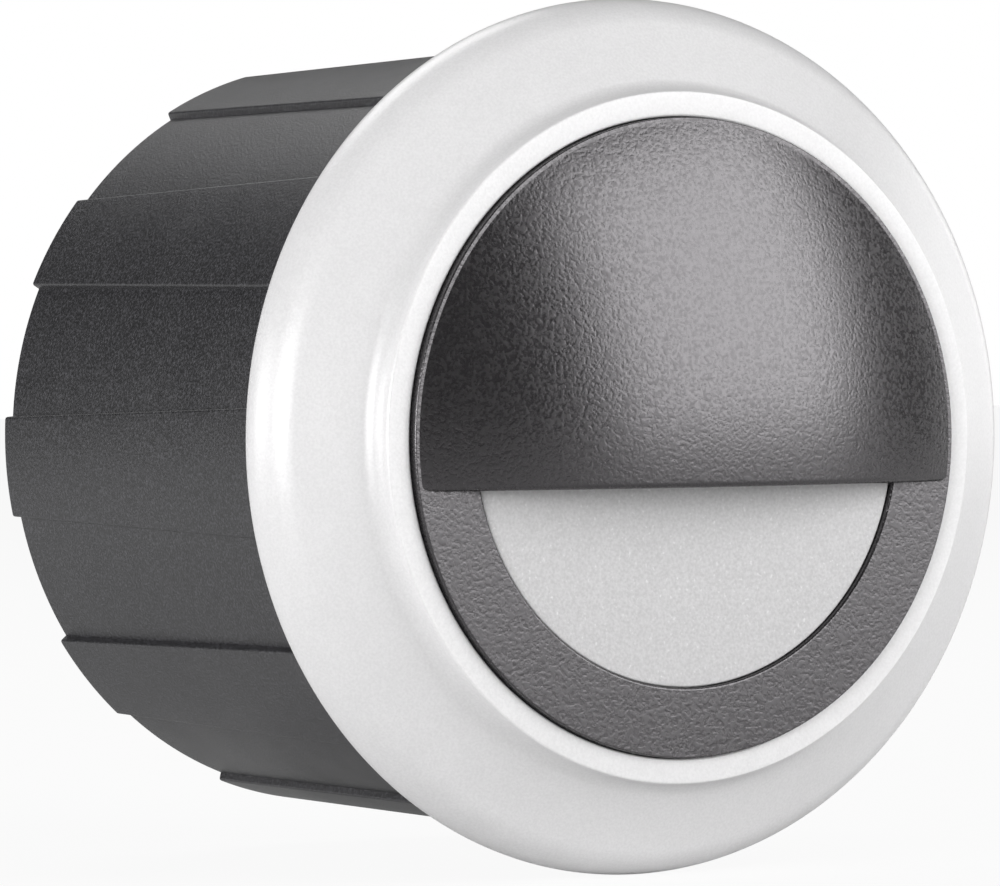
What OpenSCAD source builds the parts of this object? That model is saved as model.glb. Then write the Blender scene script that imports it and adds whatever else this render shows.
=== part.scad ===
// Recessed eyelid light with a frosted ring, pushed into a mounting sleeve.
// The light's axis runs along Y: the front looks along -Y, +Z is up, and
// y = 0 is the face of the wall or step that the ring closes against.

/* [Frosted ring] */
// Outside diameter of the frosted ring
ring_d = 66; // [62:0.5:72]
// How far the collar's flat face stands before the wall
collar_proud = 8.7; // [8.2:0.1:10]
// Width of the collar's flat face round the bezel
collar_w = 1.9; // [1:0.1:2]
// Radius of the ring's rounded outer edge
bead_r = 4; // [2.5:0.1:4.5]
// Radius of the ring's back edge
back_edge_r = 0.8; // [0.3:0.1:1]
// Slope of the ring's face between its edge and its collar, degrees
face_slope = 30; // [24:1:33]
// Radius of the cove at the foot of the collar
cove_r = 1.9; // [1:0.1:2]
// Depth of the gasket's groove in the ring's back
gasket_groove = 1; // [0.6:0.1:1.4]
// Width of the gasket's groove
gasket_w = 2.4; // [1.6:0.1:3]

/* [Eyelid bezel] */
// Diameter of the bezel where it meets the collar's face
bezel_d = 47.5; // [46:0.1:49]
// How far the bezel's flat face stands before the collar
bezel_stand = 0.6; // [0.5:0.1:1.5]
// Bevel round the bezel's front edge
bezel_bevel = 0.3; // [0.1:0.05:0.4]
// Width of the flat rim that the bezel keeps round the dome
dome_rim = 0.35; // [0.3:0.05:0.8]
// Height of the eyelid's dome before the bezel's flat face
dome_h = 5; // [3.5:0.1:7]
// Thickness of the eyelid
eyelid_t = 1.2; // [1:0.1:2]
// How far the eyelid's lower edge lies below the light's axis
lid_drop = 3.6; // [0:0.1:6]
// Diameter of the window in the bezel
window_d = 37.2; // [34:0.2:38]
// Thickness of the lip that holds the lens
lip_t = 0.9; // [0.7:0.1:1.4]

/* [Lens and seals] */
// Thickness of the frosted lens
lens_t = 2.5; // [2:0.1:2.8]
// How far the front of the lens lies behind the bezel's face
lens_recess = 0.35; // [0:0.05:0.5]
// Gap between the front of the lens and the edge of the window
lens_window_gap = 0.15; // [0.1:0.05:0.4]
// How far the bezel's lip laps over the lens
lens_lap = 1.8; // [1.4:0.1:2]
// Gap between the lens and the wall of its pocket
lens_gap = 0.2; // [0.1:0.05:0.3]
// Thickness of the gasket behind the lens
lens_gasket_t = 0.8; // [0.5:0.1:1]
// Thickness of the seal between the bezel and the body
bezel_seal_t = 0.8; // [0.5:0.1:1]
// Section diameter of the O-rings that grip the sleeve
oring_d = 3; // [2.4:0.1:3.2]

/* [Light body] */
// Outside diameter of the body's core
core_d = 40.8; // [40:0.2:41.2]
// Wall of the body's core
core_wall = 2.2; // [1.8:0.1:2.6]
// Diameter of the shoulder that turns in the ring
shoulder_d = 52; // [51:0.2:53]
// Thickness of the shoulder
shoulder_t = 1.7; // [1.4:0.1:2]
// How far the cooling fins stay inside the O-rings, on the radius
fin_inset = 2; // [1.8:0.1:3.2]
// Thickness of one cooling fin
fin_t = 1.4; // [1:0.1:1.8]
// Number of cooling fins between the two O-ring lands
fin_count = 2; // [1:1:3]
// Length of the body behind the wall face
body_len = 27; // [26:0.2:28]
// Depth of the body's front cup behind the wall face
cup_depth = 4; // [3.6:0.1:5]
// Thickness of the floor that carries the light source
floor_t = 2.5; // [2:0.1:3]
// Thickness of the rear cover
cover_t = 3; // [2.4:0.1:3.4]

/* [Light source and driver] */
// Thickness of both circuit boards
board_t = 1.6; // [1:0.1:1.6]
// Thickness of the thermal pad
pad_t = 0.5; // [0.3:0.1:0.8]
// Number of light-emitting chips
chip_count = 6; // [4:2:8]
// Height of the driver board above the body's floor
driver_standoff = 4.5; // [3.5:0.1:5]

/* [Mounting sleeve] */
// Diameter of the sleeve over its front band, which fits the drilled hole
sleeve_d = 60.6; // [60.2:0.1:62]
// Length of the sleeve behind the wall face
sleeve_len = 44; // [43:0.5:60]
// Length of the plain band at the sleeve's front
band_len = 2.5; // [2:0.1:4]
// Wall of the sleeve at its front
sleeve_wall = 2.4; // [2.2:0.1:2.6]
// Taper of the sleeve on its radius, from front to back
sleeve_draft = 0.5; // [0.2:0.1:0.7]
// Number of gripping pads round the sleeve
pad_count = 10; // [6:1:12]
// Height of the pads above the sleeve's wall
pad_h = 0.6; // [0.4:0.1:0.8]
// Width of a pad at the front
pad_w_front = 9.9; // [8:0.1:11]
// Width of a pad at the back
pad_w_back = 7.9; // [6:0.1:8]
// Turn of the first pad from the top, degrees
pad_turn = -22.5; // [-30:0.5:30]
// Thickness of the sleeve's end wall
end_wall = 2; // [1.6:0.1:3]
// Diameter of the cable opening in the end wall
end_opening_d = 24; // [20:0.5:30]

/* [Cable gland] */
// Diameter of the cable that the gland seals on
cable_d = 6; // [5:0.1:6.4]
// Thread diameter of the gland
gland_d = 12; // [11.4:0.1:12]
// Width of the gland's hexagons across their flats
gland_af = 15; // [14.6:0.1:16]

/* [Clearances] */
// Running clearance of the shoulder in the ring's groove
turn_gap = 0.08; // [0.04:0.01:0.1]
// End clearance of the shoulder in the ring's groove
end_gap = 0.15; // [0.1:0.05:0.2]
// Gap between the bezel and the ring's collar
bezel_gap = 0.15; // [0.1:0.05:0.4]
// Clearance between the ring and what turns or slides inside it
free_gap = 0.3; // [0.2:0.05:0.4]
// Clearance of screws, wires and boards in their holes
part_gap = 0.2; // [0.1:0.05:0.3]

/* [Hidden] */
$fn = 96;
tiny = 0.01;
ring_r = ring_d / 2;
bezel_r = bezel_d / 2;
// How far an arc runs past the line that it blends into
blend = 0.004;
bore_r = bezel_r + bezel_gap;
collar_r = bore_r + collar_w;
window_r = window_d / 2;
lens_r = window_r + lens_lap;
pocket_r = lens_r + lens_gap;

// Planes along the axis, from the front to the back
y_collar = -collar_proud;
y_face = y_collar - bezel_stand;
y_lens = y_face + lip_t;
y_lens_gasket = y_lens + lens_t;
y_reflector = y_lens_gasket + lens_gasket_t;
reflector_rim_t = 1;
y_spigot = y_reflector + reflector_rim_t;
spigot_h = 1.2;
y_shoulder = y_spigot + spigot_h;
y_seal = y_shoulder - bezel_seal_t;
y_shoulder_back = y_shoulder + shoulder_t;
y_floor = cup_depth;
y_floor_back = y_floor + floor_t;
y_led_board = y_floor - pad_t - board_t;
y_driver = y_floor_back + driver_standoff;
y_driver_back = y_driver + board_t;
y_cover_back = body_len + cover_t;

// Body
core_r = core_d / 2;
spigot_r = pocket_r - part_gap;
cup_r = spigot_r - 2;
cavity_r = core_r - core_wall;
shoulder_r = shoulder_d / 2;
groove_r = shoulder_r + turn_gap;
gasket_gap = 0.1;
gasket_rim = 0.6;
gasket_in_r = ring_r - back_edge_r - gasket_rim - gasket_w;
land_lip = 1.2;
land_len = oring_d + 2 * land_lip;
oring_groove_w = oring_d + 2 * part_gap;
sleeve_r = sleeve_d / 2;
sleeve_bore_r = sleeve_r - pad_h - sleeve_wall;
lead_in = 0.6;
pad_root_r = sleeve_bore_r + sleeve_wall / 2;
oring_out_r = sleeve_bore_r - free_gap;
oring_mid_r = oring_out_r - oring_d / 2;
oring_seat_r = oring_out_r - oring_d - gasket_gap;
fin_r = oring_out_r - fin_inset;
front_land_gap = 2;
rear_land_gap = 1.6;
front_land = y_floor + front_land_gap;
rear_land = body_len - land_len - rear_land_gap;

// Fasteners: shank and head sizes of the M2.5 and M2 screws
screw_r = 1.25;
screw_head_r = 2.2;
screw_head_h = 1.6;
small_screw_r = 1;
small_head_r = 1.8;
small_head_h = 1.2;
pilot_gap = 0.05;
bezel_screw_bite = 3.6;
bezel_pilot_len = 4;
bezel_screw_ring = (pocket_r + bezel_r) / 2;
bezel_screw_turn = 30;
bezel_key_r = 1.2;
lip_r = max(fin_r, bezel_screw_ring + screw_head_r) + free_gap;
cover_boss_r = 2.6;
boss_bite = 0.4;
cover_screw_ring = cavity_r - cover_boss_r + boss_bite;
cover_screw_bite = 8;
cover_pilot_len = 9;
cover_seal_d = 1;
cover_seal_r = core_r - core_wall / 2;
driver_screw_ring = 12.5;
driver_screw_turn = 90;
driver_boss_r = 2.4;
driver_screw_len = 5;
led_screw_ring = 9.6;
led_screw_len = 3.8;
led_pilot_end = 0.4;

// Light source
led_board_r = 13.6;
chip_ring = 6.6;
chip_w = 3;
chip_h = 0.8;
reflector_t = 1.1;
reflector_foot_r = 12.8;
wire_r = 0.6;
wire_hole_r = 2.2;
wire_drop = 2.4;

// Driver board and what stands on it
driver_board_r = cavity_r - 0.6;
cap_r = 4;
cap_h = 9.5;
cap_pos = [7.2, 8];
inductor_r = 4;
inductor_h = 6;
inductor_pos = [-7.6, 7.2];
bridge_size = [6.4, 2.4, 4.8];
bridge_pos = [-7.2, -5.2];
chip_size = [5, 1.6, 4];
chip_pos = [7.6, -4.8];
terminal_size = [9, 8, 6];
terminal_pos = [0, -11];

// Gland
gland_r = gland_d / 2;
washer_t = 0.8;
gland_hex_h = 4;
locknut_h = 2.6;
gland_neck_h = 4;
gland_nut_h = 5.9;
gland_wall = 1.1;
y_gland = y_cover_back + washer_t;
y_gland_neck = y_gland + gland_hex_h;
y_gland_nut = y_gland_neck + 0.3;
y_gland_end = y_gland_nut + gland_nut_h;
seal_r = gland_r - gland_wall - 0.1;
seal_len = 6;
y_gland_seal = y_gland_neck - 1;

// A profile drawn as (radius, place along the axis), turned about the Y axis
module turned() rotate([-90, 0, 0]) rotate_extrude() children();

// A rod of radius r about the Y axis, from y0 to y1
module rod(r, y0, y1) rotate([-90, 0, 0]) translate([0, 0, y0]) cylinder(r = r, h = y1 - y0);

// A tube about the Y axis
module tube(r_out, r_in, y0, y1) difference() {
    rod(r_out, y0, y1);
    rod(r_in, y0 - 1, y1 + 1);
}

// An outline drawn in X and Z, given its thickness from y0 to y1
module slab(y0, y1) translate([0, y1, 0]) rotate([90, 0, 0]) linear_extrude(y1 - y0) children();

// Copies at even angles about the Y axis, each moved out to radius r
module around(count, r = 0, turn = 0)
    for (i = [0 : count - 1]) rotate([0, turn + i * 360 / count, 0]) translate([0, 0, r]) children();

// A ring of round section about the Y axis
module oring(mid_r, section_d, y) turned() translate([mid_r, y]) circle(d = section_d, $fn = 32);

// A pan-head screw: its head's seat is at y0 and its shank runs toward -Y for len
module screw(y0, len, r, head_r, head_h) difference() {
    union() {
        rod(r, y0 - len, y0 + tiny);
        rod(head_r, y0, y0 + head_h);
    }
    slab(y0 + head_h * 0.4, y0 + head_h + 1) driver_slot(head_r);
}
module driver_slot(head_r) {
    square([head_r * 1.2, head_r * 0.3], center = true);
    square([head_r * 0.3, head_r * 1.2], center = true);
}

// Outline of the frosted ring: rounded edge, sloping face, cove, collar
module ring_face() {
    out = [sin(face_slope), -cos(face_slope)];
    bead = [ring_r - bead_r, -back_edge_r];
    edge_end = bead + bead_r * out;
    foot = edge_end - (edge_end[0] - collar_r) * [1, tan(face_slope)];
    cove_end = foot + cove_r * (1 - sin(face_slope)) * [1, tan(face_slope)];
    cove = cove_end + cove_r * out;
    back_edge = [ring_r - back_edge_r, -back_edge_r];
    difference() {
        polygon([
            [bore_r, 0], [ring_r, 0], [ring_r, edge_end[1] + (ring_r - edge_end[0]) * tan(face_slope)],
            cove_end, cove, [collar_r, cove[1]], [collar_r, y_collar], [bore_r, y_collar]
        ]);
        translate(cove) circle(r = cove_r + blend);
        difference() {
            polygon([
                bead, edge_end, edge_end + out, [ring_r + 1, edge_end[1] + out[1]], [ring_r + 1, bead[1]]
            ]);
            translate(bead) circle(r = bead_r + blend);
        }
        difference() {
            translate(back_edge) square(back_edge_r + 1);
            translate(back_edge) circle(r = back_edge_r + blend);
        }
    }
}

// The ring with the groove in which the body's shoulder turns, the lip that
// snaps behind the shoulder, and the groove of the gasket
module frosted_ring() color("whitesmoke") turned() difference() {
    ring_face();
    translate([0, y_shoulder - end_gap]) square([groove_r, shoulder_t + 2 * end_gap]);
    translate([0, y_shoulder]) square([lip_r, 1 - y_shoulder]);
    translate([gasket_in_r, -gasket_groove]) square([gasket_w, gasket_groove + 1]);
}

module flange_gasket() color("dimgray")
    tube(gasket_in_r + gasket_w - gasket_gap, gasket_in_r + gasket_gap, -gasket_groove, 0);

// Front ring of the bezel with the skirt that holds the lens, and the eyelid over it
module eyelid_bezel() color("#2b2b2d") difference() {
    union() {
        turned() polygon([
            [window_r, y_face], [bezel_r - bezel_bevel, y_face], [bezel_r, y_face + bezel_bevel],
            [bezel_r, y_seal], [pocket_r, y_seal], [pocket_r, y_lens], [window_r, y_lens]
        ]);
        eyelid();
    }
    around(3, bezel_screw_ring, bezel_screw_turn) rod(screw_r + pilot_gap, y_seal - bezel_pilot_len, y_seal + 1);
}
module eyelid() {
    base_r = bezel_r - dome_rim;
    ball_r = (base_r * base_r + dome_h * dome_h) / (2 * dome_h);
    bite = 0.3;
    intersection() {
        translate([0, y_face - dome_h + ball_r, 0]) difference() {
            sphere(r = ball_r, $fn = 128);
            sphere(r = ball_r - eyelid_t, $fn = 128);
        }
        rod(base_r, y_face - dome_h - 1, y_face + bite);
        translate([-ring_r, y_face - dome_h - 1, -lid_drop]) cube([ring_d, dome_h + 2, ring_d]);
        difference() {
            rod(ring_r, y_face - dome_h - 1, y_face + bite);
            rod(window_r, y_face - tiny, y_face + bite + 1);
        }
    }
}

module bezel_seal() color("dimgray") difference() {
    tube(bezel_r - part_gap, spigot_r + part_gap, y_seal, y_shoulder);
    around(3, bezel_screw_ring, bezel_screw_turn) rod(screw_r + part_gap, y_seal - 1, y_shoulder + 1);
}

// Stepped lens: its rim lies behind the bezel's lip, and its front nearly fills the window
module front_lens() color("lightgray") union() {
    rod(lens_r, y_lens, y_lens_gasket);
    rod(window_r - lens_window_gap, y_face + lens_recess, y_lens + 1);
}

module lens_gasket() color("dimgray") tube(lens_r, window_r, y_lens_gasket, y_reflector);

// White cone between the light source and the lens, with a rim that the body clamps
module reflector() color("white") turned() polygon([
    [reflector_foot_r - reflector_t, y_led_board], [reflector_foot_r, y_led_board],
    [cup_r - free_gap, y_spigot], [spigot_r, y_spigot], [spigot_r, y_reflector],
    [cup_r - free_gap - reflector_t, y_reflector]
]);

// Finned aluminium body: cup for the light source in front, driver's housing behind
module light_body() color("silver") difference() {
    union() {
        rod(spigot_r, y_spigot, y_shoulder + 1);
        rod(shoulder_r, y_shoulder, y_shoulder_back);
        rod(core_r, y_shoulder, body_len);
        for (y = [front_land, rear_land]) rod(fin_r, y, y + land_len);
        for (i = [1 : fin_count]) fin(i);
    }
    rod(cup_r, y_spigot - 1, y_floor);
    difference() {
        rod(cavity_r, y_floor_back, body_len + 1);
        around(3, cover_screw_ring) rod(cover_boss_r, y_floor_back - 1, body_len);
        around(2, driver_screw_ring, driver_screw_turn) rod(driver_boss_r, y_floor_back - 1, y_driver);
    }
    for (y = [front_land, rear_land])
        tube(fin_r + 1, oring_seat_r, y + land_len / 2 - oring_groove_w / 2,
            y + land_len / 2 + oring_groove_w / 2);
    around(3, bezel_screw_ring, bezel_screw_turn) {
        rod(screw_r + part_gap, y_shoulder - 1, y_shoulder_back + 1);
        rod(screw_head_r + part_gap, y_shoulder_back, front_land - part_gap);
        rod(bezel_key_r, front_land - 1, body_len + 1);
    }
    around(3, cover_screw_ring) rod(screw_r + pilot_gap, body_len - cover_pilot_len, body_len + 1);
    around(2, driver_screw_ring, driver_screw_turn)
        rod(screw_r + pilot_gap, y_driver - driver_screw_len + board_t, y_driver + 1);
    around(2, led_screw_ring) rod(small_screw_r + pilot_gap, y_floor - 1, y_floor_back - led_pilot_end);
    translate([0, 0, -wire_drop]) rod(wire_hole_r, y_floor - 1, y_floor_back + 1);
    tube(cover_seal_r + cover_seal_d * 0.8, cover_seal_r - cover_seal_d * 0.8,
        body_len - cover_seal_d - gasket_gap, body_len + 1);
}
module fin(i) {
    step = (rear_land - front_land - land_len) / (fin_count + 1);
    rod(fin_r, front_land + land_len + i * step - fin_t / 2, front_land + land_len + i * step + fin_t / 2);
}

module bezel_screws() color("silver") around(3, bezel_screw_ring, bezel_screw_turn)
    screw(y_shoulder_back, shoulder_t + bezel_screw_bite, screw_r, screw_head_r, screw_head_h);

module thermal_pad() color("lightpink") difference() {
    rod(led_board_r, y_floor - pad_t, y_floor);
    source_holes();
}

module led_board() color("white") difference() {
    rod(led_board_r, y_led_board, y_floor - pad_t);
    around(2, led_screw_ring) rod(small_screw_r + part_gap, y_led_board - 1, y_floor);
}
module source_holes() {
    around(2, led_screw_ring) rod(small_screw_r + part_gap, y_led_board - 1, y_floor + 1);
    translate([0, 0, -wire_drop]) rod(wire_hole_r, y_led_board - 1, y_floor + 1);
}

module led_chips() color("khaki") around(chip_count, chip_ring, 180 / chip_count) chip_package();
module chip_package() difference() {
    translate([-chip_w / 2, y_led_board - chip_h, -chip_w / 2]) cube([chip_w, chip_h, chip_w]);
    rod(chip_w * 0.38, y_led_board - chip_h - 1, y_led_board - chip_h * 0.7);
}

module led_board_screws() color("silver") around(2, led_screw_ring) mirror([0, 1, 0])
    screw(-y_led_board, led_screw_len, small_screw_r, small_head_r, small_head_h);

module led_wires() color("firebrick") for (side = [-1, 1])
    translate([side * wire_r * 1.4, 0, -wire_drop]) rod(wire_r, y_floor - pad_t, y_driver);

module front_oring() color("#222222") oring(oring_mid_r, oring_d, front_land + land_len / 2);

module rear_oring() color("#222222") oring(oring_mid_r, oring_d, rear_land + land_len / 2);

module driver_board() color("seagreen") difference() {
    rod(driver_board_r, y_driver, y_driver_back);
    around(3, cover_screw_ring) rod(cover_boss_r + part_gap, y_driver - 1, y_driver_back + 1);
    around(2, driver_screw_ring, driver_screw_turn)
        rod(screw_r + part_gap, y_driver - 1, y_driver_back + 1);
}

module driver_screws() color("silver") around(2, driver_screw_ring, driver_screw_turn)
    screw(y_driver_back, driver_screw_len, screw_r, screw_head_r, screw_head_h);

// Things that stand on the driver board, placed in X and Z
module on_driver(pos) translate([pos[0], y_driver_back, pos[1]]) children();
module block(size) translate([-size[0] / 2, 0, -size[2] / 2]) cube(size);

module capacitor() color("navy") on_driver(cap_pos) difference() {
    rod(cap_r, 0, cap_h);
    tube(cap_r + 1, cap_r - 0.35, 1.2, 2.2);
    slab(cap_h - 0.3, cap_h + 1) square([cap_r * 1.3, 0.3], center = true);
    slab(cap_h - 0.3, cap_h + 1) square([0.3, cap_r * 1.3], center = true);
}

module inductor() color("#3a3a3a") on_driver(inductor_pos) {
    rod(inductor_r, 0, 1.2);
    rod(inductor_r - 1, 0, inductor_h);
    rod(inductor_r, inductor_h - 1.2, inductor_h);
}

module bridge_rectifier() color("#1c1c1c") on_driver(bridge_pos) block(bridge_size);

module driver_chip() color("#1c1c1c") on_driver(chip_pos) block(chip_size);

// Screw terminals for the supply wires
module terminal_block() color("green") on_driver(terminal_pos) difference() {
    block(terminal_size);
    for (side = [-1, 1]) translate([side * terminal_size[0] / 4, 0, 0]) {
        rod(1.3, terminal_size[1] - 3, terminal_size[1] + 1);
        translate([0, 2.4, 0]) cylinder(r = 1, h = terminal_size[2]);
    }
}

module cover_oring() color("#222222") oring(cover_seal_r, cover_seal_d, body_len - gasket_gap - cover_seal_d / 2);

module rear_cover() color("silver") difference() {
    rod(core_r, body_len, y_cover_back);
    rod(gland_r + part_gap, body_len - 1, y_cover_back + 1);
    around(3, cover_screw_ring) rod(screw_r + part_gap, body_len - 1, y_cover_back + 1);
}

module cover_screws() color("silver") around(3, cover_screw_ring)
    screw(y_cover_back, cover_t + cover_screw_bite, screw_r, screw_head_r, screw_head_h);

// Hexagonal prism along Y, measured across its flats
module hex(af, y0, y1) slab(y0, y1) circle(d = af / cos(30), $fn = 6);

module gland_washer() color("#222222") tube(gland_af / 2, gland_r + part_gap, y_cover_back, y_gland);

module gland_body() color("#2b2b2b") difference() {
    union() {
        rod(gland_r, body_len - locknut_h - 0.6, y_gland + tiny);
        hex(gland_af, y_gland, y_gland_neck);
        rod(gland_r, y_gland_neck - tiny, y_gland_neck + gland_neck_h);
    }
    rod(gland_r - gland_wall - 1, body_len - locknut_h - 2, y_gland_neck);
    rod(gland_r - gland_wall, y_gland_seal, y_gland_neck + gland_neck_h + 1);
}

module gland_locknut() color("#2b2b2b") difference() {
    hex(gland_af, body_len - locknut_h, body_len);
    rod(gland_r + pilot_gap, body_len - locknut_h - 1, body_len + 1);
}

module gland_seal() color("#222222") tube(seal_r, cable_d / 2, y_gland_seal, y_gland_seal + seal_len);

// Cap nut that squeezes the seal onto the cable
module gland_nut() color("#2b2b2b") difference() {
    intersection() {
        hex(gland_af, y_gland_nut, y_gland_end);
        turned() polygon([
            [0, y_gland_nut], [gland_af, y_gland_nut], [gland_af, y_gland_end - 3.4],
            [gland_af * 0.5, y_gland_end - 2.6], [gland_af * 0.34, y_gland_end], [0, y_gland_end]
        ]);
    }
    rod(gland_r + 0.1, y_gland_nut - 1, y_gland_neck + gland_neck_h + 0.2);
    rod(seal_r + 0.1, y_gland_nut, y_gland_seal + seal_len + 0.1);
    rod(cable_d / 2 + 0.6, y_gland_nut, y_gland_end + 1);
}

// Moulded sleeve that stays in the hole: plain front band, tapered wall with
// raised pads that widen toward the front, and an end wall with a cable opening
module mounting_sleeve() color("#333335") difference() {
    union() {
        rod(sleeve_r, 0, band_len);
        turned() polygon([
            [0, tiny], [wall_r(0), tiny], [wall_r(1), sleeve_len], [0, sleeve_len]
        ]);
        pads();
    }
    rod(sleeve_bore_r, -1, sleeve_len - end_wall);
    turned() polygon([
        [0, -1], [sleeve_bore_r + lead_in + 1, -1], [sleeve_bore_r, lead_in], [0, lead_in]
    ]);
    rod(end_opening_d / 2, 0, sleeve_len + 1);
}
function wall_r(share) = sleeve_r - pad_h - share * sleeve_draft;
module pads() intersection() {
    turned() polygon([
        [pad_root_r, band_len / 2], [wall_r(0) + pad_h, band_len / 2],
        [wall_r(1) + pad_h, sleeve_len], [pad_root_r, sleeve_len]
    ]);
    union() around(pad_count, 0, pad_turn) linear_extrude(sleeve_d) polygon([
        [-pad_w_front / 2, 0], [pad_w_front / 2, 0],
        [pad_w_back / 2, sleeve_len + 1], [-pad_w_back / 2, sleeve_len + 1]
    ]);
}

mounting_sleeve();
frosted_ring();
flange_gasket();
eyelid_bezel();
bezel_seal();
front_lens();
lens_gasket();
reflector();
light_body();
bezel_screws();
thermal_pad();
led_board();
led_chips();
led_board_screws();
led_wires();
front_oring();
rear_oring();
driver_board();
driver_screws();
capacitor();
inductor();
bridge_rectifier();
driver_chip();
terminal_block();
cover_oring();
rear_cover();
cover_screws();
gland_washer();
gland_body();
gland_locknut();
gland_seal();
gland_nut();
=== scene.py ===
import math

import bpy
from mathutils import Matrix, Vector


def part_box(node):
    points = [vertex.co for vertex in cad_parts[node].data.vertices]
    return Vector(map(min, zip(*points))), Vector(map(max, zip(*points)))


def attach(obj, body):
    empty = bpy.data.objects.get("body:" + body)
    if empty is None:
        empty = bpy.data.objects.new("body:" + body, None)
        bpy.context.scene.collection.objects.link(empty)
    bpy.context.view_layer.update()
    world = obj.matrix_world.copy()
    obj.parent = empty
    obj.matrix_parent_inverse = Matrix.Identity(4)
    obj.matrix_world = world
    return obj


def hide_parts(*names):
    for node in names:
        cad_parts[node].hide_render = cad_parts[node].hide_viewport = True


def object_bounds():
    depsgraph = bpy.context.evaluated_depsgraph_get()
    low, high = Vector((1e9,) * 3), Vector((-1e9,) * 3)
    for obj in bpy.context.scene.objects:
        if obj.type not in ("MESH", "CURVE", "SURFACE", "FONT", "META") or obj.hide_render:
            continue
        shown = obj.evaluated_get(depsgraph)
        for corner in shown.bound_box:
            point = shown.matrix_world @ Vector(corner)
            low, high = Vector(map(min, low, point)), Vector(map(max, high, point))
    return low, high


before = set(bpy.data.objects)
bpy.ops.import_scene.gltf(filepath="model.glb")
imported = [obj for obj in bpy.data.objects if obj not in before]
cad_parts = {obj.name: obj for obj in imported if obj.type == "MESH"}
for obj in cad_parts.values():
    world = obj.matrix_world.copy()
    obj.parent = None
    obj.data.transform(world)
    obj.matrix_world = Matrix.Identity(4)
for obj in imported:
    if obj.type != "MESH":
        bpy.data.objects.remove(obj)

cad_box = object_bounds()
mm = 0.001

# Camera. A long lens looks at the light from its left, almost level with its
# axis, as in the photograph.
camera_azimuth = math.radians(-31.56)
camera_elevation = math.radians(0.84)
camera_roll = math.radians(-0.43)
camera_distance = 489.72 * mm
camera_aim = Vector((-8.51, 3.92, -0.38)) * mm
camera_turn = (
    Matrix.Rotation(camera_azimuth, 3, "Z")
    @ Matrix.Rotation(math.pi / 2 - camera_elevation, 3, "X")
    @ Matrix.Rotation(camera_roll, 3, "Z")
)
bpy.ops.object.camera_add(
    location=camera_aim + camera_turn @ Vector((0, 0, camera_distance)),
    rotation=camera_turn.to_euler(),
)
camera = bpy.context.object
camera.name = "photo_camera"
camera.data.lens = 234
camera.data.sensor_width = 36
camera.data.sensor_fit = "HORIZONTAL"
camera.data.clip_start = 0.01
bpy.context.scene.camera = camera
bpy.context.scene.view_settings.view_transform = "Standard"


# Studio. Soft boxes stand round the light: the main one in front on its right,
# low ones on both sides and a high one behind. The room shows white to the
# camera and gives little light itself. Lamps and world are plain white.
def soft_box(name, azimuth, elevation, distance, width, height, power):
    """A lamp aimed at the origin. Angles in degrees, lengths in metres, power in watts."""
    turn = (
        Matrix.Rotation(math.radians(azimuth), 3, "Z")
        @ Matrix.Rotation(math.radians(90 - elevation), 3, "X")
    )
    bpy.ops.object.light_add(
        type="AREA", location=turn @ Vector((0, 0, distance)), rotation=turn.to_euler()
    )
    lamp = bpy.context.object
    lamp.name = name
    lamp.data.shape = "RECTANGLE"
    lamp.data.size = width
    lamp.data.size_y = height
    lamp.data.energy = power


soft_box("main_soft_box", 36, 21.5, 0.7, 0.6, 0.56, 4.7)
soft_box("left_soft_box", -60, 5, 0.8, 0.4, 0.3, 4.9)
soft_box("side_soft_box", -105, 4, 0.8, 0.5, 0.3, 3.1)
soft_box("right_soft_box", 100, 8, 0.8, 0.4, 0.4, 1.1)
soft_box("back_soft_box", 180, 50, 0.8, 0.5, 0.3, 1.9)

room = bpy.data.worlds.new("white_room")
bpy.context.scene.world = room
room.use_nodes = True
room_nodes = room.node_tree.nodes
room_links = room.node_tree.links
room_light = room_nodes["Background"]
room_light.inputs["Color"].default_value = (1, 1, 1, 1)
room_light.inputs["Strength"].default_value = 0.06
room_seen = room_nodes.new("ShaderNodeBackground")
room_seen.inputs["Color"].default_value = (1, 1, 1, 1)
room_ray = room_nodes.new("ShaderNodeLightPath")
seen_in_all = room_nodes.new("ShaderNodeMath")
seen_in_all.operation = "MAXIMUM"
room_mix = room_nodes.new("ShaderNodeMixShader")
room_links.new(room_ray.outputs["Is Camera Ray"], seen_in_all.inputs[0])
room_links.new(room_ray.outputs["Is Transmission Ray"], seen_in_all.inputs[1])
room_links.new(seen_in_all.outputs[0], room_mix.inputs["Fac"])
room_links.new(room_light.outputs[0], room_mix.inputs[1])
room_links.new(room_seen.outputs[0], room_mix.inputs[2])
room_links.new(room_mix.outputs[0], room_nodes["World Output"].inputs["Surface"])

# Floor. A plain white sheet that the frosted ring stands on. It shows almost
# white to the camera and keeps the light's soft shadow. What the light mirrors
# of it is brighter behind the ring than before it.
floor_size = 6
floor_grey = 0.68
seen_share = 0.93
mirrored_from_y = -0.07
mirrored_to_y = 0.02
mirrored_share_before = 0.03
mirrored_share_behind = 0.25
bpy.ops.mesh.primitive_plane_add(size=floor_size, location=(0, 0, cad_box[0][2]))
floor = bpy.context.object
floor.name = "floor"
floor_paper = bpy.data.materials.new("floor_paper")
floor_paper.use_nodes = True
paper_nodes = floor_paper.node_tree.nodes
paper_links = floor_paper.node_tree.links
paper_nodes["Principled BSDF"].inputs["Base Color"].default_value = (*[floor_grey] * 3, 1)
paper_nodes["Principled BSDF"].inputs["Roughness"].default_value = 0.9
paper_white = paper_nodes.new("ShaderNodeEmission")
paper_ray = paper_nodes.new("ShaderNodeLightPath")
paper_seen = paper_nodes.new("ShaderNodeMath")
paper_seen.operation = "MULTIPLY"
paper_seen.inputs[1].default_value = seen_share
paper_mirrored = paper_nodes.new("ShaderNodeMath")
paper_mirrored.operation = "MULTIPLY"
paper_place = paper_nodes.new("ShaderNodeTexCoord")
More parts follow.
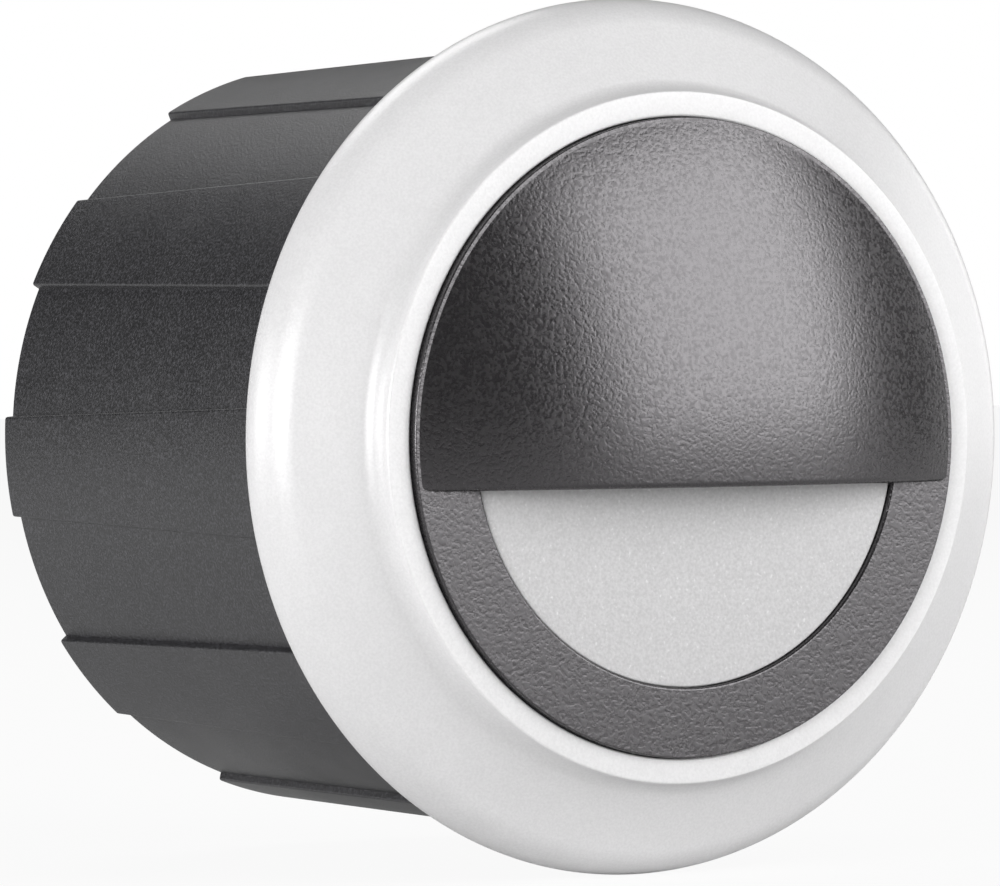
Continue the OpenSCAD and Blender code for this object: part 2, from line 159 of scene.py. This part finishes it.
paper_axes = paper_nodes.new("ShaderNodeSeparateXYZ")
paper_behind = paper_nodes.new("ShaderNodeMapRange")
paper_behind.inputs["From Min"].default_value = mirrored_from_y
paper_behind.inputs["From Max"].default_value = mirrored_to_y
paper_behind.inputs["To Min"].default_value = mirrored_share_before
paper_behind.inputs["To Max"].default_value = mirrored_share_behind
paper_in_all = paper_nodes.new("ShaderNodeMath")
paper_in_all.operation = "MAXIMUM"
paper_mix = paper_nodes.new("ShaderNodeMixShader")
paper_links.new(paper_ray.outputs["Is Camera Ray"], paper_seen.inputs[0])
paper_links.new(paper_place.outputs["Object"], paper_axes.inputs[0])
paper_links.new(paper_axes.outputs["Y"], paper_behind.inputs["Value"])
paper_links.new(paper_ray.outputs["Is Glossy Ray"], paper_mirrored.inputs[0])
paper_links.new(paper_behind.outputs[0], paper_mirrored.inputs[1])
paper_links.new(paper_seen.outputs[0], paper_in_all.inputs[0])
paper_links.new(paper_mirrored.outputs[0], paper_in_all.inputs[1])
paper_links.new(paper_in_all.outputs[0], paper_mix.inputs["Fac"])
paper_links.new(paper_nodes["Principled BSDF"].outputs[0], paper_mix.inputs[1])
paper_links.new(paper_white.outputs[0], paper_mix.inputs[2])
paper_links.new(paper_mix.outputs[0], paper_nodes["Material Output"].inputs["Surface"])
floor.data.materials.append(floor_paper)


# Mounting sleeve. A black moulded tube that stays in the drilled hole. Raised
# pads, wider at the front, grip the hole's wall, and its end has an opening
# for the cable. The plastic has a fine matt spark-eroded grain.
class Value:
    """A value that changes over a surface. Arithmetic on it adds Math nodes."""

    def __init__(self, tree, socket):
        self.tree = tree
        self.socket = socket

    def maths(self, operation, other):
        node = self.tree.nodes.new("ShaderNodeMath")
        node.operation = operation
        self.tree.links.new(self.socket, node.inputs[0])
        if isinstance(other, Value):
            self.tree.links.new(other.socket, node.inputs[1])
        else:
            node.inputs[1].default_value = other
        return Value(self.tree, node.outputs[0])

    def __add__(self, other):
        return self.maths("ADD", other)

    def __mul__(self, other):
        return self.maths("MULTIPLY", other)

    __radd__ = __add__
    __rmul__ = __mul__


class Finish:
    """One material, with its Principled shader and the nodes that feed it."""

    def __init__(self, name, color, roughness, **plain):
        self.material = bpy.data.materials.new(name)
        self.material.use_nodes = True
        self.tree = self.material.node_tree
        self.shader = self.tree.nodes["Principled BSDF"]
        self.shader.inputs["Base Color"].default_value = (*color, 1)
        self.shader.inputs["Roughness"].default_value = roughness
        for socket, setting in plain.items():
            self.shader.inputs[socket.replace("_", " ")].default_value = setting
        self.place = self.node("ShaderNodeTexCoord", output="Object")

    def node(self, kind, settings=None, output=0, **sockets):
        node = self.tree.nodes.new(kind)
        for name, setting in (settings or {}).items():
            setattr(node, name, setting)
        for name, item in sockets.items():
            socket = node.inputs[name.replace("_", " ")]
            if isinstance(item, Value):
                self.tree.links.new(item.socket, socket)
            else:
                socket.default_value = item
        return Value(self.tree, node.outputs[output])

    def noise(self, size, detail=2.0):
        """Noise from 0 to 1, whose lumps are about that size in metres."""
        return self.node("ShaderNodeTexNoise", Vector=self.place, Scale=1 / size, Detail=detail)

    def shades(self, dark, light, share):
        """A colour between dark and light, by a value from 0 to 1."""
        node = self.tree.nodes.new("ShaderNodeMix")
        node.data_type = "RGBA"
        node.inputs["A"].default_value = (*dark, 1)
        node.inputs["B"].default_value = (*light, 1)
        self.tree.links.new(share.socket, node.inputs["Factor"])
        return Value(self.tree, node.outputs["Result"])

    def spread(self, value, low, high):
        """A value stretched so that low becomes 0 and high becomes 1."""
        return self.node(
            "ShaderNodeMapRange", {"clamp": True}, Value=value, From_Min=low, From_Max=high
        )

    def feed(self, socket, value):
        self.tree.links.new(value.socket, self.shader.inputs[socket])

    def grain(self, height, depth):
        """Bump of that depth in metres, from a height between 0 and 1."""
        bump = self.node("ShaderNodeBump", Height=height, Distance=depth, Strength=1.0)
        self.feed("Normal", bump)


def turned_piece(name, outline, steps=256, closed=True):
    """Turns an outline of (radius, place along Y) about the Y axis."""
    weld_distance = 0.3e-6
    bpy.ops.object.select_all(action="DESELECT")
    radius, place = outline[0]
    bpy.ops.mesh.primitive_circle_add(
        vertices=steps, radius=radius, location=(0, place, 0), rotation=(math.pi / 2, 0, 0)
    )
    piece = bpy.context.object
    piece.name = name
    bpy.ops.object.mode_set(mode="EDIT")
    bpy.ops.mesh.select_all(action="SELECT")
    for next_radius, next_place in outline[1:] + outline[:1] * closed:
        bpy.ops.mesh.extrude_edges_move(
            TRANSFORM_OT_translate={"value": (0, next_place - place, 0)}
        )
        growth = next_radius / radius
        bpy.ops.transform.resize(value=(growth, 1, growth), center_override=(0, next_place, 0))
        radius, place = next_radius, next_place
    bpy.ops.mesh.select_all(action="SELECT")
    bpy.ops.mesh.remove_doubles(threshold=weld_distance)
    bpy.ops.mesh.delete_loose(use_verts=True, use_edges=True, use_faces=False)
    bpy.ops.mesh.select_all(action="SELECT")
    bpy.ops.mesh.normals_make_consistent(inside=False)
    bpy.ops.object.mode_set(mode="OBJECT")
    bpy.ops.object.transform_apply()
    return piece


def arc(centre, radius, start, stop, steps=8):
    """Points on an arc, by angles in degrees from the radius towards +Y."""
    angles = [math.radians(start + (stop - start) * i / steps) for i in range(steps + 1)]
    return [(centre[0] + radius * math.cos(a), centre[1] + radius * math.sin(a)) for a in angles]


def smooth(piece, degrees):
    """Smooth shading up to that angle, with the broad faces left flat."""
    bpy.ops.object.select_all(action="DESELECT")
    piece.select_set(True)
    bpy.context.view_layer.objects.active = piece
    bpy.ops.object.shade_smooth_by_angle(angle=math.radians(degrees))
    flat_faces = piece.modifiers.new("flat_faces", "WEIGHTED_NORMAL")
    flat_faces.keep_sharp = True
    bpy.ops.object.modifier_apply(modifier="flat_faces")


sleeve_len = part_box("mounting_sleeve")[1].y
sleeve_r = 30.3 * mm
pad_h = 0.6 * mm
sleeve_draft = 0.5 * mm
band_len = 2.5 * mm
sleeve_bore_r = 27.3 * mm
sleeve_end_wall = 2 * mm
end_opening_r = 12 * mm
wall_r = sleeve_r - pad_h
sleeve_edge = 0.15 * mm
back_edge = 0.3 * mm
mouth_bevel = 0.6 * mm
sleeve = turned_piece("sleeve_tube", [
    (sleeve_bore_r + mouth_bevel, 0),
    (sleeve_r - sleeve_edge, 0),
    (sleeve_r, sleeve_edge),
    (sleeve_r, band_len),
    (wall_r, band_len),
    (wall_r - sleeve_draft, sleeve_len - back_edge),
    (wall_r - sleeve_draft - back_edge, sleeve_len),
    (end_opening_r + sleeve_edge, sleeve_len),
    (end_opening_r, sleeve_len - sleeve_edge),
    (end_opening_r, sleeve_len - sleeve_end_wall),
    (sleeve_bore_r, sleeve_len - sleeve_end_wall),
    (sleeve_bore_r, mouth_bevel),
])
smooth(sleeve, 30)

# The pads of the sleeve: one is cut from a tapered rod by two slanting planes
# and a level one, its edges are eased, and it is copied round the sleeve. They
# start inside the front band and end just short of the tube's end face.
pad_count = 10
pad_turn = math.radians(-22.5)
pad_w_front = 9.9 * mm
pad_w_back = 7.9 * mm
pad_edge = 0.22 * mm
pad_root = sleeve_bore_r + 1.2 * mm
pad_start = band_len / 2
pad_end = sleeve_len - 0.03 * mm
cut_tolerance = 1e-7
bpy.ops.object.select_all(action="DESELECT")
bpy.ops.mesh.primitive_cone_add(
    vertices=360,
    radius1=sleeve_r,
    radius2=sleeve_r - sleeve_draft,
    depth=pad_end - pad_start,
    end_fill_type="NGON",
    location=(0, (pad_end + pad_start) / 2, 0),
    rotation=(-math.pi / 2, 0, 0),
)
pad = bpy.context.object
pad.name = "sleeve_pad"
bpy.ops.object.mode_set(mode="EDIT")
pad_slant = math.atan((pad_w_front - pad_w_back) / 2 / sleeve_len)
for side in (-1, 1):
    bpy.ops.mesh.select_all(action="SELECT")
    bpy.ops.mesh.bisect(
        plane_co=(side * pad_w_front / 2, 0, 0),
        plane_no=(side * math.cos(pad_slant), math.sin(pad_slant), 0),
        use_fill=True,
        clear_outer=True,
        threshold=cut_tolerance,
    )
bpy.ops.mesh.select_all(action="SELECT")
bpy.ops.mesh.bisect(
    plane_co=(0, 0, pad_root),
    plane_no=(0, 0, -1),
    use_fill=True,
    clear_outer=True,
    threshold=cut_tolerance,
)
bpy.ops.object.mode_set(mode="OBJECT")
bpy.ops.object.transform_apply()
soft_edges = pad.modifiers.new("eased_edges", "BEVEL")
soft_edges.width = pad_edge
soft_edges.segments = 3
soft_edges.limit_method = "ANGLE"
soft_edges.angle_limit = math.radians(40)
bpy.ops.object.modifier_apply(modifier="eased_edges")
smooth(pad, 35)
pads = [pad]
for i in range(1, pad_count):
    bpy.ops.object.select_all(action="DESELECT")
    pad.select_set(True)
    bpy.context.view_layer.objects.active = pad
    bpy.ops.object.duplicate()
    pads.append(bpy.context.object)
for i, copy in enumerate(pads):
    copy.data.transform(Matrix.Rotation(pad_turn + i * math.tau / pad_count, 4, "Y"))
bpy.ops.object.select_all(action="DESELECT")
for copy in pads:
    copy.select_set(True)
sleeve.select_set(True)
bpy.context.view_layer.objects.active = sleeve
bpy.ops.object.join()

sleeve_plastic = Finish("sleeve_plastic", (0.012, 0.012, 0.0125), 0.35, Specular_IOR_Level=0.9)
grit = sleeve_plastic.noise(0.2 * mm, 2)
specks = sleeve_plastic.spread(grit, 0.45, 0.85)
clouds = sleeve_plastic.noise(6 * mm, 2)
sleeve_plastic.feed("Base Color", sleeve_plastic.shades(
    (0.0092, 0.009, 0.0103), (0.08, 0.079, 0.088), specks
))
sleeve_plastic.feed("Roughness", clouds * 0.1 + grit * 0.2 + 0.26)
sleeve_plastic.grain(grit, 0.035 * mm)
sleeve.data.materials.append(sleeve_plastic.material)
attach(sleeve, "sleeve")
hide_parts("mounting_sleeve")

# Frosted ring. A moulded ring of frosted white plastic that turns on the body
# and closes on the wall: rounded edge, sloping face, a cove at the foot of an
# upright collar, and a flat edge round the bezel.
ring_low, ring_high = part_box("frosted_ring")
ring_r = ring_high.x
collar_y = ring_low.y
bore_r = 23.9 * mm
collar_t = 1.9 * mm
collar_r = bore_r + collar_t
bead_r = 4 * mm
back_edge_r = 0.8 * mm
face_slope = 30
cove_r = 1.9 * mm
shoulder_groove_r = 26.08 * mm
shoulder_groove = (-3.05 * mm, -1.05 * mm)
lip_r = 25.3 * mm
gasket_out_r = 31.6 * mm
gasket_in_r = 29.2 * mm
gasket_depth = 1 * mm
collar_edge = 0.18 * mm
rise = math.tan(math.radians(face_slope))
bead = (ring_r - bead_r, -back_edge_r)
bead_end = arc(bead, bead_r, face_slope - 90, 0, 20)[::-1]
foot_y = bead_end[-1][1] - (bead_end[-1][0] - collar_r) * rise
cove_start = collar_r + cove_r * (1 - math.sin(math.radians(face_slope)))
cove_centre = (
    cove_start + cove_r * math.sin(math.radians(face_slope)),
    foot_y + (cove_start - collar_r) * rise - cove_r * math.cos(math.radians(face_slope)),
)
ring = turned_piece("ring", [
    (bore_r, collar_y + collar_edge),
    (bore_r, shoulder_groove[0]),
    (shoulder_groove_r, shoulder_groove[0]),
    (shoulder_groove_r, shoulder_groove[1]),
    (lip_r, shoulder_groove[1]),
    (lip_r, 0),
    (gasket_in_r, 0),
    (gasket_in_r, -gasket_depth),
    (gasket_out_r, -gasket_depth),
    (gasket_out_r, 0),
    *arc((ring_r - back_edge_r, -back_edge_r), back_edge_r, 90, 0, 6)[:-1],
    *bead_end,
    *arc(cove_centre, cove_r, 90 + face_slope, 180, 12),
    *arc((collar_r - collar_edge, collar_y + collar_edge), collar_edge, 0, -90, 4),
    *arc((bore_r + collar_edge, collar_y + collar_edge), collar_edge, -90, -180, 4)[:-1],
], 320)
smooth(ring, 28)

frosted_plastic = Finish(
    "frosted_plastic", (0.8, 0.8, 0.81), 0.42, Specular_IOR_Level=0.8,
    Subsurface_Weight=0.35, Subsurface_Scale=1.5 * mm,
)
frosted_plastic.shader.inputs["Subsurface Radius"].default_value = (1, 1, 1)
frost = frosted_plastic.noise(0.2 * mm, 2)
haze = frosted_plastic.noise(3 * mm, 3)
frosted_plastic.feed("Base Color", frosted_plastic.shades(
    (0.655, 0.65, 0.655), (0.715, 0.71, 0.715),
    frosted_plastic.spread(frost * 0.8 + haze * 0.2, 0.35, 0.65),
))
frosted_plastic.feed("Roughness", frost * 0.2 + 0.25)
frosted_plastic.grain(frost, 0.01 * mm)
ring.data.materials.append(frosted_plastic.material)
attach(ring, "ring")
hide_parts("frosted_ring")

# Eyelid bezel. One aluminium casting with a black grained powder coat: a flat
# ring with an eased rim, and over its upper part a shallow dome that is cut
# off straight a little below the axis, to throw the light down.
bezel_low, bezel_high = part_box("eyelid_bezel")
coat_thickness = 0.07 * mm
bezel_r = bezel_high.x + coat_thickness
bezel_stand = 0.6 * mm
bezel_face_y = collar_y - bezel_stand
bezel_edge = 0.12 * mm
bezel_back_y = bezel_high.y
window_r = 18.6 * mm
window_edge = 0.2 * mm
lip_t = 0.9 * mm
lip_back_y = bezel_face_y + lip_t
pocket_r = 20.6 * mm
bezel = turned_piece("bezel_ring", [
    (window_r, lip_back_y),
    *arc((window_r + window_edge, bezel_face_y + window_edge), window_edge, 180, 270, 4),
    *arc((bezel_r - bezel_edge, bezel_face_y + bezel_edge), bezel_edge, -90, 0, 4),
    (bezel_r, bezel_back_y),
    (pocket_r, bezel_back_y),
    (pocket_r, lip_back_y),
], 320)
smooth(bezel, 35)

# The eyelid is a turned dome with a thin wall. A level plane cuts it off, and
# from there its rim runs down, eased on both sides, and is closed below.
dome_h = bezel_face_y - bezel_low.y
eyelid_t = 1.2 * mm
lid_drop = 3.6 * mm
lid_edge = 0.4 * mm
dome_rim = 0.35 * mm
dome_foot = 0.1 * mm
dome_base_r = bezel_r - dome_rim
ball_r = (dome_base_r ** 2 + dome_h ** 2) / (2 * dome_h)
ball_y = bezel_low.y + ball_r
rim_angle = math.degrees(math.asin(dome_base_r / ball_r))
pole_angle = 1e-4
eyelid = turned_piece("eyelid", [
    *arc((0, ball_y), ball_r, -90 + pole_angle, -90 + rim_angle, 40),
    (dome_base_r, bezel_face_y + dome_foot),
], 320, closed=False)
wall = eyelid.modifiers.new("eyelid_wall", "SOLIDIFY")
wall.thickness = eyelid_t
wall.offset = -1
wall.use_even_offset = True
bpy.ops.object.modifier_apply(modifier="eyelid_wall")


def pick(piece, test):
    """Selects, in edit mode, the vertices of a piece whose place passes a test."""
    bpy.ops.mesh.select_all(action="DESELECT")
    bpy.ops.object.mode_set(mode="OBJECT")
    for vertex in piece.data.vertices:
        vertex.select = test(vertex.co)
    bpy.ops.object.mode_set(mode="EDIT")


def outside_wall(place):
    """How far a place lies outside the middle of the eyelid's wall."""
    return math.dist((0, ball_y, 0), place) - ball_r + eyelid_t / 2


bpy.ops.object.mode_set(mode="EDIT")
bpy.ops.mesh.select_mode(type="VERT")
bpy.ops.mesh.select_all(action="SELECT")
bpy.ops.mesh.bisect(
    plane_co=(0, 0, lid_edge - lid_drop),
    plane_no=(0, 0, -1),
    clear_outer=True,
    threshold=cut_tolerance,
)
bend_count = 6
bends = [math.radians(90 * i / bend_count) for i in range(bend_count + 1)]
for bend, next_bend in zip(bends, bends[1:]):
    level, next_level = (
        lid_edge * (1 - math.sin(turn)) - lid_drop for turn in (bend, next_bend)
    )
    draw_in = lid_edge * (math.cos(bend) - math.cos(next_bend))
    pick(eyelid, lambda place: abs(place.z - level) < cut_tolerance)
    bpy.ops.mesh.extrude_edges_move(TRANSFORM_OT_translate={"value": (0, 0, next_level - level)})
    for side in (1, -1):
        pick(
            eyelid,
            lambda place: abs(place.z - next_level) < cut_tolerance
            and side * outside_wall(place) > 0,
        )
        bpy.ops.transform.translate(value=(0, side * draw_in, 0))
pick(eyelid, lambda place: abs(place.z + lid_drop) < cut_tolerance)
bpy.ops.mesh.fill()
bpy.ops.mesh.select_all(action="SELECT")
bpy.ops.mesh.normals_make_consistent(inside=False)
bpy.ops.object.mode_set(mode="OBJECT")
smooth(eyelid, 35)
bezel.select_set(True)
bpy.context.view_layer.objects.active = bezel
bpy.ops.object.join()

black_coat = Finish(
    "black_powder_coat", (0.01, 0.01, 0.01), 0.3, IOR=1.6, Specular_IOR_Level=0.84,
    Specular_Tint=(1, 0.965, 1, 1),
)
coat_grain = black_coat.noise(0.27 * mm, 2)
coat_spots = black_coat.spread(coat_grain, 0.35, 0.65)
coat_patches = black_coat.noise(0.6 * mm, 2)
black_coat.feed("Base Color", black_coat.shades(
    (0.013, 0.012, 0.013), (0.002, 0.002, 0.002), coat_spots
))
black_coat.feed("Roughness", coat_spots * 0.15 + coat_patches * 0.1 + 0.145)
black_coat.grain(coat_grain * 0.8 + coat_patches * 0.2, 0.032 * mm)
bezel.data.materials.append(black_coat.material)
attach(bezel, "light")
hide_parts("eyelid_bezel")

# Front lens. A stepped disc of frosted glass, sand-blasted all over. Its rim
# lies behind the bezel's lip, and its front stands in the window with a narrow
# gap round it.
glass_low, glass_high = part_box("front_lens")
glass_r = glass_high.x
glass_edge = 0.2 * mm
window_gap = 0.06 * mm
front_r = window_r - window_gap
front_edge = 0.15 * mm
axis_r = 1e-4 * mm
lens = turned_piece("lens", [
    (axis_r, glass_low.y),
    *arc((front_r - front_edge, glass_low.y + front_edge), front_edge, -90, 0, 3),
    (front_r, lip_back_y),
    (glass_r - glass_edge, lip_back_y),
    (glass_r, lip_back_y + glass_edge),
    (glass_r, glass_high.y - glass_edge),
    (glass_r - glass_edge, glass_high.y),
    (axis_r, glass_high.y),
])
smooth(lens, 35)
frosted_glass = Finish("frosted_glass", (0.64, 0.64, 0.645), 0.4)
blast = frosted_glass.noise(0.22 * mm, 2)
cloud = frosted_glass.noise(4 * mm, 3)
# Sparse bright spots mixed into the glass's colour are painted glints of its frosted face.
painted_glints = frosted_glass.spread(frosted_glass.noise(0.3 * mm, 1), 0.66, 0.76)
frosted_glass.feed("Base Color", frosted_glass.shades(
    (0.45, 0.445, 0.45), (0.66, 0.655, 0.66),
    frosted_glass.spread(blast * 0.9 + cloud * 0.1, 0.3, 0.7) * 0.5 + painted_glints * 0.5,
))
frosted_glass.feed("Roughness", blast * 0.3 + 0.3)
frosted_glass.grain(blast, 0.02 * mm)
lens.data.materials.append(frosted_glass.material)
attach(lens, "light")
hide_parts("front_lens")


# Seals. Black silicone rubber: the gasket of the ring, the flat seals round
# the bezel and behind the lens, the O-rings that grip the sleeve, and those
# of the rear cover and the gland.
def dress(finish, *nodes):
    """Gives CAD nodes whose shape is right their finish."""
    for node in nodes:
        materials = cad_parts[node].data.materials
        materials.clear()
        materials.append(finish.material)


seal_rubber = Finish("seal_rubber", (0.02, 0.02, 0.02), 0.6)
dust = seal_rubber.noise(1.2 * mm, 3)
seal_rubber.feed("Base Color", seal_rubber.shades(
    (0.012, 0.012, 0.012), (0.035, 0.035, 0.034), seal_rubber.spread(dust, 0.4, 0.7)
))
seal_rubber.feed("Roughness", dust * 0.2 + 0.5)
seal_rubber.grain(seal_rubber.noise(0.2 * mm), 0.01 * mm)
dress(
    seal_rubber, "flange_gasket", "bezel_seal", "lens_gasket", "front_oring", "rear_oring",
    "cover_oring", "gland_washer", "gland_seal",
)

# Body and rear cover. Die-cast aluminium, lightly blasted and left bare: the
# skin is a little mottled, and the finned body and its cover are alike.
cast_aluminium = Finish("cast_aluminium", (0.6, 0.6, 0.61), 0.45, Metallic=1.0)
skin = cast_aluminium.noise(0.3 * mm, 3)
mottle = cast_aluminium.noise(3 * mm, 3)
cast_aluminium.feed("Base Color", cast_aluminium.shades(
    (0.5, 0.5, 0.51), (0.68, 0.68, 0.69), cast_aluminium.spread(mottle, 0.35, 0.65)
))
cast_aluminium.feed("Roughness", skin * 0.2 + mottle * 0.1 + 0.32)
cast_aluminium.grain(skin, 0.02 * mm)
dress(cast_aluminium, "light_body", "rear_cover")

# Screws. Plain stainless steel with turned heads, which show fine rings and
# a few rubbed spots.
screw_steel = Finish("screw_steel", (0.6, 0.59, 0.58), 0.3, Metallic=1.0)
rub = screw_steel.noise(0.5 * mm, 3)
screw_steel.feed("Base Color", screw_steel.shades(
    (0.48, 0.47, 0.46), (0.68, 0.67, 0.66), screw_steel.spread(rub, 0.35, 0.65)
))
screw_steel.feed("Roughness", rub * 0.25 + 0.18)
screw_steel.grain(rub, 0.008 * mm)
dress(screw_steel, "bezel_screws", "led_board_screws", "driver_screws", "cover_screws")

# Reflector. White moulded plastic with a satin skin, which throws the light
# of the chips forward to the lens.
reflector_white = Finish("reflector_white", (0.85, 0.85, 0.84), 0.3)
satin = reflector_white.noise(0.6 * mm, 2)
reflector_white.feed("Roughness", satin * 0.15 + 0.22)
reflector_white.grain(satin, 0.006 * mm)
dress(reflector_white, "reflector")

# Light source. A white-lacquered metal-core board on a soft thermal pad, with
# yellow phosphor chips and two red silicone wires through the floor.
board_white = Finish("board_white", (0.8, 0.81, 0.79), 0.35)
lacquer = board_white.noise(0.8 * mm, 2)
board_white.feed("Roughness", lacquer * 0.15 + 0.28)
board_white.grain(lacquer, 0.006 * mm)
dress(board_white, "led_board")

thermal_pad_grey = Finish("thermal_pad_grey", (0.45, 0.38, 0.4), 0.8)
filler = thermal_pad_grey.noise(0.25 * mm, 3)
thermal_pad_grey.feed("Base Color", thermal_pad_grey.shades(
    (0.38, 0.32, 0.34), (0.52, 0.45, 0.47), thermal_pad_grey.spread(filler, 0.35, 0.65)
))
thermal_pad_grey.grain(filler, 0.02 * mm)
dress(thermal_pad_grey, "thermal_pad")

phosphor = Finish("phosphor", (0.82, 0.66, 0.2), 0.4)
powder = phosphor.noise(0.12 * mm, 2)
phosphor.feed("Base Color", phosphor.shades(
    (0.74, 0.56, 0.13), (0.88, 0.74, 0.28), phosphor.spread(powder, 0.35, 0.65)
))
phosphor.grain(powder, 0.01 * mm)
dress(phosphor, "led_chips")

red_wire = Finish("red_wire", (0.45, 0.04, 0.03), 0.4)
sheath = red_wire.noise(0.7 * mm, 2)
red_wire.feed("Roughness", sheath * 0.2 + 0.3)
red_wire.grain(sheath, 0.008 * mm)
dress(red_wire, "led_wires")

# Driver. A green lacquered board with its parts: a capacitor in a dark blue
# shrunk sleeve, an inductor on a ferrite core, two black moulded chips and a
# green terminal block for the supply.
board_green = Finish("board_green", (0.03, 0.17, 0.07), 0.3)
weave = board_green.noise(0.5 * mm, 2)
board_green.feed("Base Color", board_green.shades(
    (0.02, 0.12, 0.05), (0.04, 0.21, 0.09), board_green.spread(weave, 0.35, 0.65)
))
board_green.grain(weave, 0.01 * mm)
dress(board_green, "driver_board")

capacitor_blue = Finish("capacitor_blue", (0.02, 0.035, 0.13), 0.25)
shrink = capacitor_blue.noise(1.5 * mm, 2)
capacitor_blue.feed("Roughness", shrink * 0.2 + 0.16)
capacitor_blue.grain(shrink, 0.02 * mm)
dress(capacitor_blue, "capacitor")

ferrite = Finish("ferrite", (0.07, 0.07, 0.075), 0.5)
sinter = ferrite.noise(0.3 * mm, 3)
ferrite.feed("Base Color", ferrite.shades(
    (0.05, 0.05, 0.053), (0.1, 0.1, 0.105), ferrite.spread(sinter, 0.35, 0.65)
))
ferrite.grain(sinter, 0.02 * mm)
dress(ferrite, "inductor")

chip_epoxy = Finish("chip_epoxy", (0.02, 0.02, 0.022), 0.5)
moulding = chip_epoxy.noise(0.2 * mm, 2)
chip_epoxy.feed("Roughness", moulding * 0.2 + 0.42)
chip_epoxy.grain(moulding, 0.01 * mm)
dress(chip_epoxy, "bridge_rectifier", "driver_chip")

terminal_green = Finish("terminal_green", (0.04, 0.24, 0.1), 0.4)
moulded = terminal_green.noise(0.6 * mm, 2)
terminal_green.feed("Roughness", moulded * 0.15 + 0.33)
terminal_green.grain(moulded, 0.01 * mm)
dress(terminal_green, "terminal_block")

# Cable gland. Black nylon, moulded, with a faint satin grain: body, locknut
# inside the cover and the cap nut that squeezes the seal.
gland_nylon = Finish("gland_nylon", (0.025, 0.025, 0.027), 0.42)
nylon = gland_nylon.noise(0.5 * mm, 3)
gland_nylon.feed("Roughness", nylon * 0.2 + 0.32)
gland_nylon.grain(nylon, 0.012 * mm)
dress(gland_nylon, "gland_body", "gland_locknut", "gland_nut")
